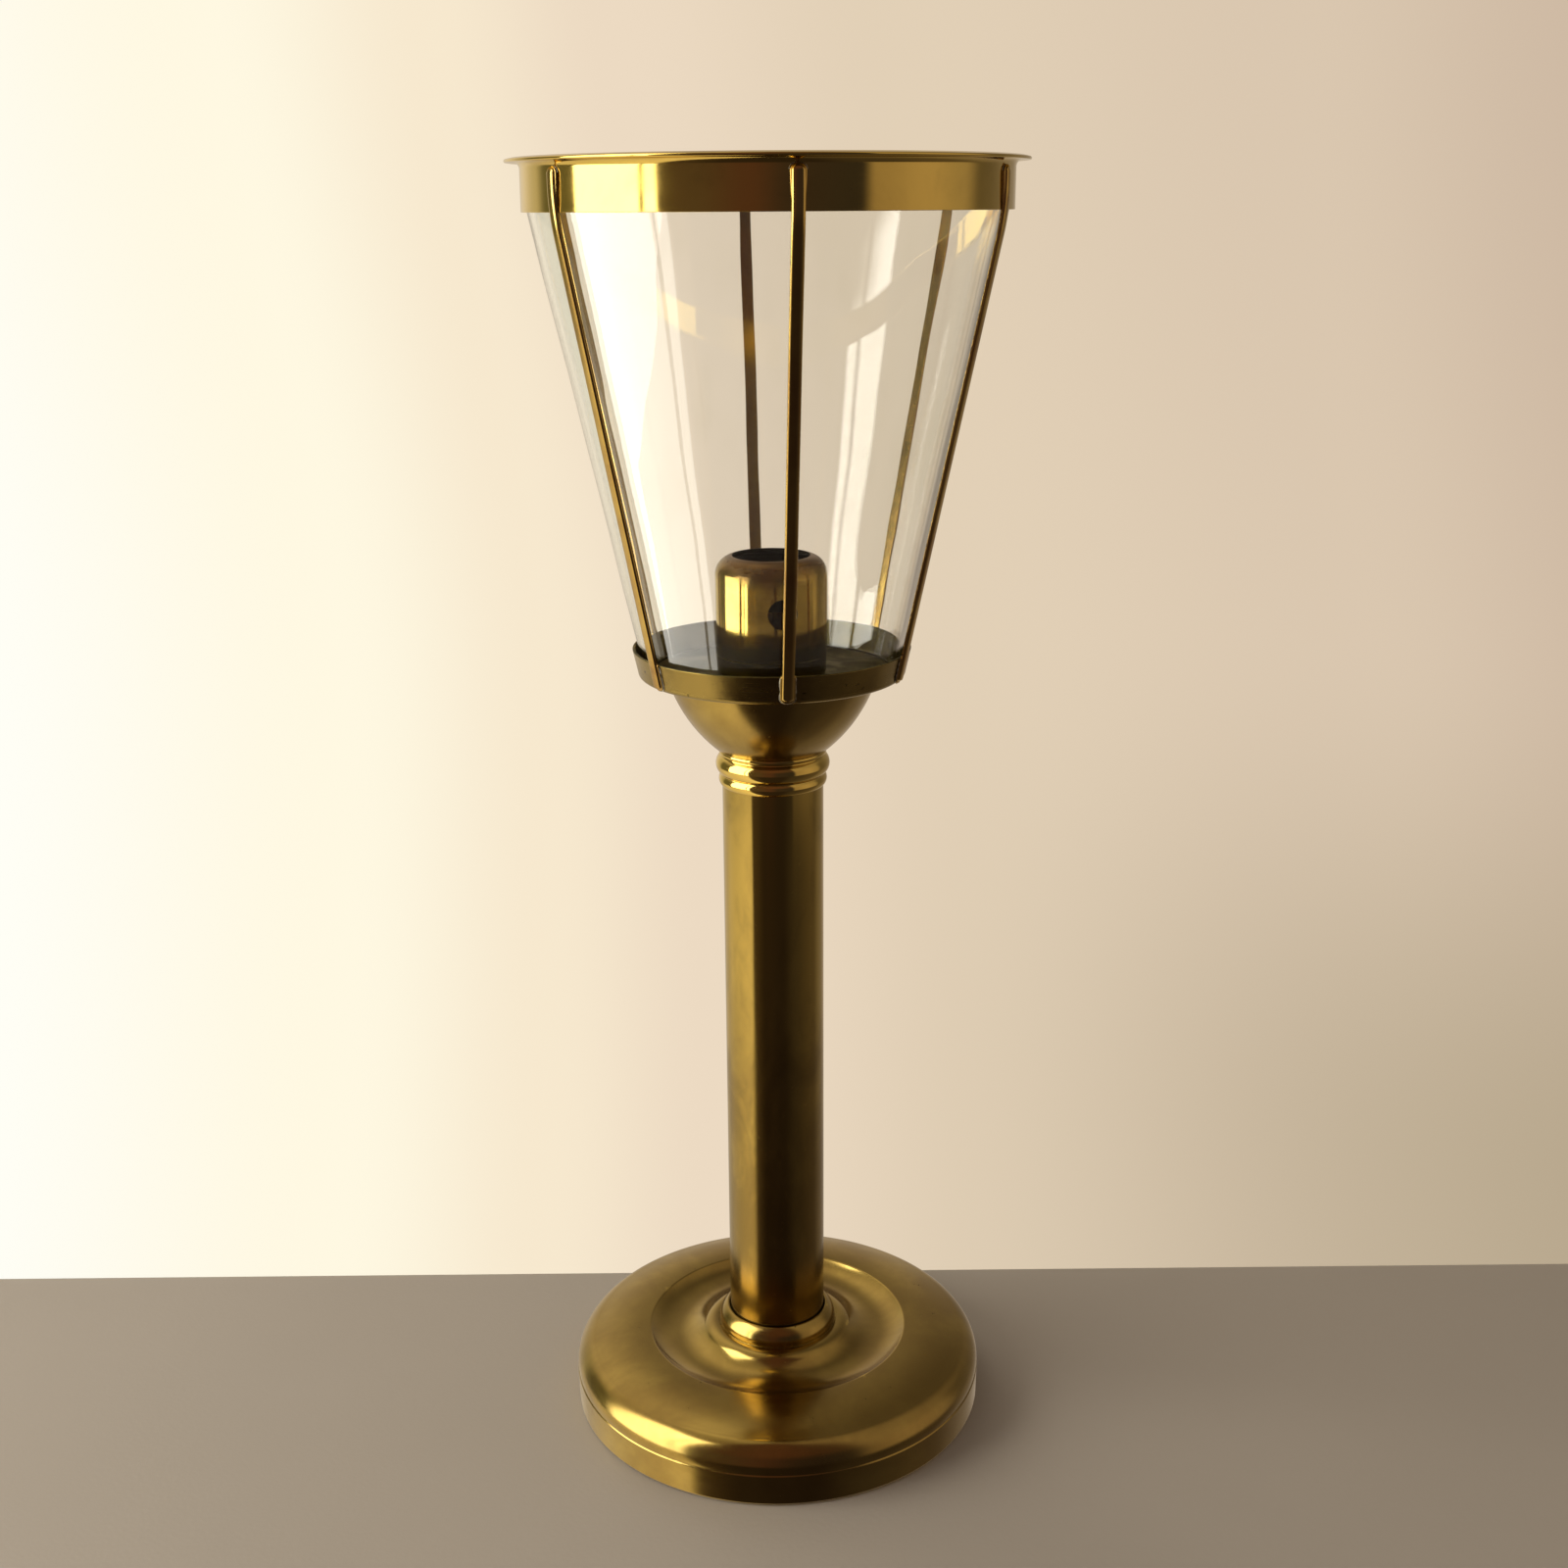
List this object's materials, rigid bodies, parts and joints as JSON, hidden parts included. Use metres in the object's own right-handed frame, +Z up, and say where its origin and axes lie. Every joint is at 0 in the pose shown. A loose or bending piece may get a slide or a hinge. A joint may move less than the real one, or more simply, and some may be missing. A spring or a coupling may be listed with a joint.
{
  "type": "candle lantern",
  "caption": "Table candle lantern: weighted spun foot, hollow pillar with spring-fed candle and slip-on nozzle cap, tapered glass in a strap cage with flanged band.",
  "frame": {"origin": "centre of the foot's underside, on the surface the lamp stands on", "axes": "+Z up along the pillar; strap_1 stands on the -Y side"},
  "size_m": [0.1326, 0.1326, 0.3553],
  "materials": {
    "polished_brass": "polished, with fine rub marks",
    "strap_brass": "bright drawn wire",
    "cap_brass": "polished, heat browned at the top",
    "aged_brass": "satin, with a brown patina",
    "tarnished_brass": "dull olive tarnish inside, satin outside",
    "raw_brass": "as machined",
    "clear_glass": "clear",
    "cast_iron": "as cast",
    "steel": "plain",
    "felt": "pressed wool felt"
  },
  "bodies": {
    "lamp": {"felt_pad": "felt", "base_weight": "cast_iron", "base_shell": "aged_brass", "base_screw": "steel", "base_washer": "steel", "foot_plug": "raw_brass", "pillar_tube": "aged_brass", "neck_collar": "polished_brass", "funnel_cup": "aged_brass", "pan_collar": "raw_brass", "gallery_pan": "tarnished_brass", "top_band": "polished_brass", "strap_1": "strap_brass", "strap_2": "strap_brass", "strap_3": "strap_brass", "strap_4": "strap_brass", "strap_5": "strap_brass", "strap_6": "strap_brass", "candle_spring": "steel"},
    "glass": {"glass_shade": "clear_glass"},
    "cap": {"nozzle_cap": "cap_brass"},
    "follower": {"candle_follower": "raw_brass"}
  },
  "joints": [
    {"name": "glass_lift", "type": "slide", "parent": "lamp", "child": "glass", "axis": [0, 0, 1], "range_m": [0, 0.16]},
    {"name": "cap_lift", "type": "slide", "parent": "lamp", "child": "cap", "axis": [0, 0, 1], "range_m": [0, 0.14]},
    {"name": "follower_travel", "type": "slide", "parent": "lamp", "child": "follower", "axis": [0, 0, 1], "range_m": [-0.165, 0], "stiffness_N_per_m": 15, "springref_m": 0.03, "deforming": ["candle_spring"]}
  ]
}
